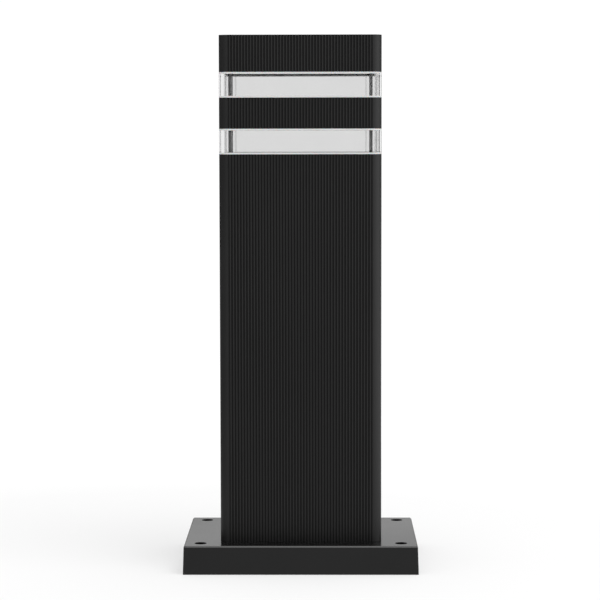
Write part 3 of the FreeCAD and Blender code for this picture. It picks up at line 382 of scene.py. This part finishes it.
def clear_ring(name, node, material):
    """A hollow rounded rectangle swept up through small rim chamfers."""
    wall, corner, rim, gap, steps = 0.005, 0.009, 0.00015, 0.00002, 20
    low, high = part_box(node)
    z0, z1 = low.z + gap, high.z - gap
    sections = [(0.0, z0 + rim), (0.0, z1 - rim), (rim, z1), (wall - rim, z1),
                (wall, z1 - rim), (wall, z0 + rim), (wall - rim, z0), (rim, z0)]
    loops = []
    for inset, z in sections:
        outline = rounded_outline(high.x - inset, high.y - inset, corner - inset, steps)
        loops.append([(x, y, z) for x, y in outline])
    count = len(loops[0])
    faces = []
    for a in range(len(loops)):
        b = (a + 1) % len(loops)
        for i in range(count):
            j = (i + 1) % count
            faces.append((a * count + i, a * count + j, b * count + j, b * count + i))
    mesh = bpy.data.meshes.new(name)
    mesh.from_pydata([point for loop in loops for point in loop], [], faces)
    for polygon in mesh.polygons:
        polygon.use_smooth = True
    mesh.set_sharp_from_angle(angle=math.radians(30))
    mesh.materials.append(material)
    ring = bpy.data.objects.new(name, mesh)
    bpy.context.scene.collection.objects.link(ring)
    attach(ring, "post")
    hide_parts(node)


ring_acrylic = clear_acrylic("clear_acrylic", 0.83, 1.10, 0.02)
clear_ring("lower_clear_ring", "lower_window_ring", ring_acrylic)
clear_ring("upper_clear_ring", "upper_window_ring", ring_acrylic)


# ---------------------------------------------------------------- light engines
# In the spacer and the cap: white boards with phosphor diodes shine down through
# moulded clear lens sheets, and extruded heat sinks lie on their backs.
def board_laminate(name):
    """White resist, with faint raised tracks that run between the diodes."""
    material, tree, bsdf = shader(name)
    tracks = tree.nodes.new("ShaderNodeTexWave")
    tracks.bands_direction = "Y"
    tracks.inputs["Scale"].default_value = 45.0
    tracks.inputs["Distortion"].default_value = 0.0
    tree.links.new(object_place(tree), tracks.inputs["Vector"])
    skin = use_group(tree, GRAIN, Scale=3000.0, Depth=0.05)
    colour = mix_colours(tree, tracks.outputs["Fac"], (0.74, 0.75, 0.73), (0.80, 0.81, 0.79))
    tree.links.new(colour, bsdf.inputs["Base Color"])
    spread_value(tree, tracks.outputs["Fac"], 0.28, 0.36, bsdf.inputs["Roughness"])
    tree.links.new(skin["Normal"], bsdf.inputs["Normal"])
    return material


dress(clear_acrylic("lens_acrylic", 0.95, 1.45, 0.08), "spacer_lens_sheet", "cap_lens_sheet")
dress(moulding("led_phosphor", (0.80, 0.62, 0.12), (0.86, 0.70, 0.18), 0.25, 2500.0, 0.05),
      "spacer_leds", "cap_leds")
dress(board_laminate("board_laminate"), "spacer_led_board", "cap_led_board")
dress(bare_metal("sink_aluminium", (0.62, 0.62, 0.63), (0.72, 0.72, 0.73), 0.36, 40.0, 1600.0, 0.15),
      "spacer_heat_sink", "cap_heat_sink")
dress(moulding("connector_plastic", (0.72, 0.72, 0.69), (0.80, 0.80, 0.77), 0.38, 1800.0, 0.08),
      "spacer_lead_connector", "cap_lead_connectors")


# ---------------------------------------------------------------- side straps
# Two flat steel bars, sheared from strip and zinc-flake coated a dull grey, that tie
# the cap and the spacer to the post and show in both windows.
dress(bare_metal("strap_steel", (0.19, 0.19, 0.19), (0.24, 0.24, 0.24), 0.45, 1600.0, 25.0, 0.15, 0.0),
      "left_strap", "right_strap")


# ---------------------------------------------------------------- gear tray and driver
# The tray is galvanised sheet bent to a channel, with crystals of slightly different
# greys. The potted driver on it has an off-white case with a blank silver-grey label.
def spangled_sheet(name):
    material, tree, bsdf = shader(name)
    cells = tree.nodes.new("ShaderNodeTexVoronoi")
    cells.inputs["Scale"].default_value = 160.0
    tree.links.new(object_place(tree), cells.inputs["Vector"])
    split = tree.nodes.new("ShaderNodeSeparateColor")
    tree.links.new(cells.outputs["Color"], split.inputs["Color"])
    lines = use_group(tree, DRAWN, Across=700.0, Along=60.0, Depth=0.1)
    colour = mix_colours(tree, split.outputs["Red"], (0.46, 0.47, 0.48), (0.62, 0.63, 0.64))
    tree.links.new(colour, bsdf.inputs["Base Color"])
    spread_value(tree, split.outputs["Green"], 0.30, 0.48, bsdf.inputs["Roughness"])
    bsdf.inputs["Metallic"].default_value = 1.0
    tree.links.new(lines["Normal"], bsdf.inputs["Normal"])
    return material


def labelled_case(name, node):
    """Off-white plastic with the label's outline inset on its front face."""
    label_half_wide, label_half_tall, face_depth = 0.017, 0.045, 0.0004
    material, tree, bsdf = shader(name)
    low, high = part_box(node)
    middle = (low + high) / 2
    split = tree.nodes.new("ShaderNodeSeparateXYZ")
    tree.links.new(object_place(tree), split.inputs[0])
    across = calculate(tree, "COMPARE", split.outputs["X"], middle.x, label_half_wide)
    up = calculate(tree, "COMPARE", split.outputs["Z"], middle.z, label_half_tall)
    front = calculate(tree, "LESS_THAN", split.outputs["Y"], low.y + face_depth)
    label = calculate(tree, "MULTIPLY", calculate(tree, "MULTIPLY", across, up), front)
    skin = use_group(tree, GRAIN, Scale=1800.0, Depth=0.10)
    colour = mix_colours(tree, label, (0.78, 0.78, 0.76), (0.50, 0.51, 0.52))
    tree.links.new(colour, bsdf.inputs["Base Color"])
    spread_value(tree, label, 0.45, 0.25, bsdf.inputs["Roughness"])
    tree.links.new(skin["Normal"], bsdf.inputs["Normal"])
    return material


dress(spangled_sheet("galvanised_sheet"), "gear_tray")
dress(labelled_case("driver_case", "led_driver"), "led_driver")


# ---------------------------------------------------------------- terminal block and earth point
# A grey moulded housing with three orange clamp levers on one steel pin, over brass
# contacts. The earth tag is tinned, crimped on its wire and screwed to the tray.
dress(moulding("block_plastic", (0.44, 0.45, 0.46), (0.50, 0.51, 0.52), 0.40, 1800.0, 0.10), "terminal_block")
dress(moulding("lever_plastic", (0.78, 0.25, 0.03), (0.86, 0.32, 0.05), 0.30, 1500.0, 0.06),
      "line_lever", "neutral_lever", "earth_lever")
dress(bare_metal("pin_steel", (0.50, 0.50, 0.51), (0.60, 0.60, 0.61), 0.25, 60.0, 2500.0, 0.10), "lever_pin")
dress(bare_metal("contact_brass", (0.66, 0.47, 0.20), (0.76, 0.56, 0.27), 0.28, 1500.0, 60.0, 0.12),
      "terminal_contacts")
dress(bare_metal("tag_metal", (0.60, 0.60, 0.58), (0.70, 0.70, 0.68), 0.30, 1200.0, 1200.0, 0.10),
      "earth_tag")


# ---------------------------------------------------------------- wires and leads
# Extruded insulation with a faint drag along it: brown, blue and green-yellow for the
# supply, and translucent silicone on the leads that run up beside the straps.
def insulation(name, low, high, rough):
    material, tree, bsdf = shader(name)
    lines = use_group(tree, DRAWN, Across=2200.0, Along=120.0, Depth=0.10)
    tree.links.new(mix_colours(tree, lines["Lines"], low, high), bsdf.inputs["Base Color"])
    spread_value(tree, lines["Lines"], rough - 0.06, rough + 0.06, bsdf.inputs["Roughness"])
    tree.links.new(lines["Normal"], bsdf.inputs["Normal"])
    return material


dress(insulation("line_insulation", (0.16, 0.065, 0.03), (0.20, 0.085, 0.04), 0.35), "line_wire")
dress(insulation("neutral_insulation", (0.03, 0.12, 0.42), (0.04, 0.16, 0.50), 0.35), "neutral_wire")
dress(insulation("earth_insulation", (0.10, 0.36, 0.05), (0.62, 0.60, 0.06), 0.35), "earth_wire")
lead_insulation = insulation("lead_insulation", (0.95, 0.95, 0.95), (0.99, 0.99, 0.99), 0.25)
lead_insulation.node_tree.nodes["Principled BSDF"].inputs["Transmission Weight"].default_value = 0.92
lead_insulation.node_tree.nodes["Principled BSDF"].inputs["IOR"].default_value = 1.05
dress(lead_insulation, "feed_lead", "link_lead", "return_lead")


# ---------------------------------------------------------------- plain floor, soft light and camera
# A pale seamless floor under an even white surround, with two broad soft boxes above.
# Grey cards round the set are seen only in reflections, to shape the black coat's shine.
def plain_material(name, grey, glow):
    """A dull, even surface that also gives off some white light."""
    material, tree, bsdf = shader(name)
    bsdf.inputs["Base Color"].default_value = (grey, grey, grey, 1.0)
    bsdf.inputs["Roughness"].default_value = 0.9
    bsdf.inputs["Specular IOR Level"].default_value = 0.0
    bsdf.inputs["Emission Color"].default_value = (1.0, 1.0, 1.0, 1.0)
    bsdf.inputs["Emission Strength"].default_value = glow
    return material


def brighten_from(material, centre, near, far, low, high):
    """Makes a plain material glow more with distance from a point, so it is painted darker near that point: a
    painted shadow.
    """
    tree = material.node_tree
    away = calculate_vector(tree, "DISTANCE", object_place(tree), centre)
    glow = tree.nodes["Principled BSDF"].inputs["Emission Strength"]
    tree.links.new(remap(tree, away, near, far, low, high), glow)


def card(name, centre, across, up, material):
    """A flat rectangle from its centre and its two half-size vectors, kept out of the object."""
    corners = [centre - across - up, centre + across - up, centre + across + up, centre - across + up]
    mesh = bpy.data.meshes.new(name)
    mesh.from_pydata([tuple(corner) for corner in corners], [], [(0, 1, 2, 3)])
    mesh.materials.append(material)
    plane = bpy.data.objects.new(name, mesh)
    bpy.context.scene.collection.objects.link(plane)
    return plane


def soft_box(name, place, target, side, watts):
    light = bpy.data.lights.new(name, "AREA")
    light.shape = "RECTANGLE"
    light.size = side
    light.size_y = side
    light.energy = watts
    lamp = bpy.data.objects.new(name, light)
    bpy.context.scene.collection.objects.link(lamp)
    lamp.location = place
    lamp.rotation_euler = (Vector(target) - Vector(place)).to_track_quat("-Z", "Y").to_euler()


scene = bpy.context.scene
scene.view_settings.view_transform = "Standard"
floor_half = 8.0
floor_paint = plain_material("floor_paint", 0.40, 0.5)
# Painted shadow: the floor glows less near a point just left of and in front of the foot, darkening the floor
# round the base.
brighten_from(floor_paint, (-0.09, -0.05, 0.0), 0.45, 1.0, 0.475, 0.62)
card("floor", Vector((0, 0, 0)), Vector((floor_half, 0, 0)), Vector((0, floor_half, 0)), floor_paint)

room, half_tall, low_z = 3.3, 1.65, 0.0005
upright, backward = (0, 0, half_tall), (0, room, 0)
for label, centre, across, up, glow in (
        ("front", (0.0, -room, half_tall), (room, 0, 0), upright, 0.36),
        ("left", (-room, -1.35, half_tall), (0, 1.95, 0), upright, 0.13),
        ("right", (room, -1.35, half_tall), (0, 1.95, 0), upright, 1.05),
        ("left_back", (-room, 1.95, half_tall), (0, 1.35, 0), upright, 0.06),
        ("right_back", (room, 1.95, half_tall), (0, 1.35, 0), upright, 0.15),
        ("back_left", (-2.1, room, half_tall), (1.2, 0, 0), upright, 0.06),
        ("back_right", (2.1, room, half_tall), (1.2, 0, 0), upright, 0.15),
        ("back", (0.0, room, half_tall), (0.9, 0, 0), upright, 0.72),
        ("low_left", (-1.85, 0.0, low_z), (1.45, 0, 0), backward, 0.22),
        ("low", (0.0, 0.0, low_z), (0.4, 0, 0), backward, 0.44),
        ("low_right", (1.85, 0.0, low_z), (1.45, 0, 0), backward, 0.85)):
    reflected = plain_material(label + "_card", 0.0, glow)
    plane = card(label + "_card", Vector(centre), Vector(across), Vector(up), reflected)
    plane.visible_camera = False
    plane.visible_diffuse = False
    plane.visible_transmission = False
    plane.visible_shadow = False

aim = (0.0, 0.0, 0.1)
soft_box("top_box", (0.35, -0.45, 2.4), aim, 1.5, 14.0)
soft_box("key_box", (1.2, -0.8, 2.2), aim, 1.5, 14.0)
world = bpy.data.worlds.new("surround")
scene.world = world
world.use_nodes = True
backdrop = world.node_tree.nodes["Background"]
backdrop.inputs["Color"].default_value = (1.0, 1.0, 1.0, 1.0)
backdrop.inputs["Strength"].default_value = 1.02

turn_left, look_down, roll = 0.00978, 0.07419, -0.00177
lens = bpy.data.cameras.new("camera")
lens.sensor_width = 36.0
lens.lens = 131.47
camera = bpy.data.objects.new("camera", lens)
scene.collection.objects.link(camera)
scene.camera = camera
camera.location = (0.01927, -2.0720, 0.40216)
level = Matrix.Rotation(math.pi / 2 - look_down, 3, "X")
aimed = Matrix.Rotation(turn_left, 3, "Z") @ level @ Matrix.Rotation(roll, 3, "Z")
camera.rotation_mode = "QUATERNION"
camera.rotation_quaternion = aimed.to_quaternion()
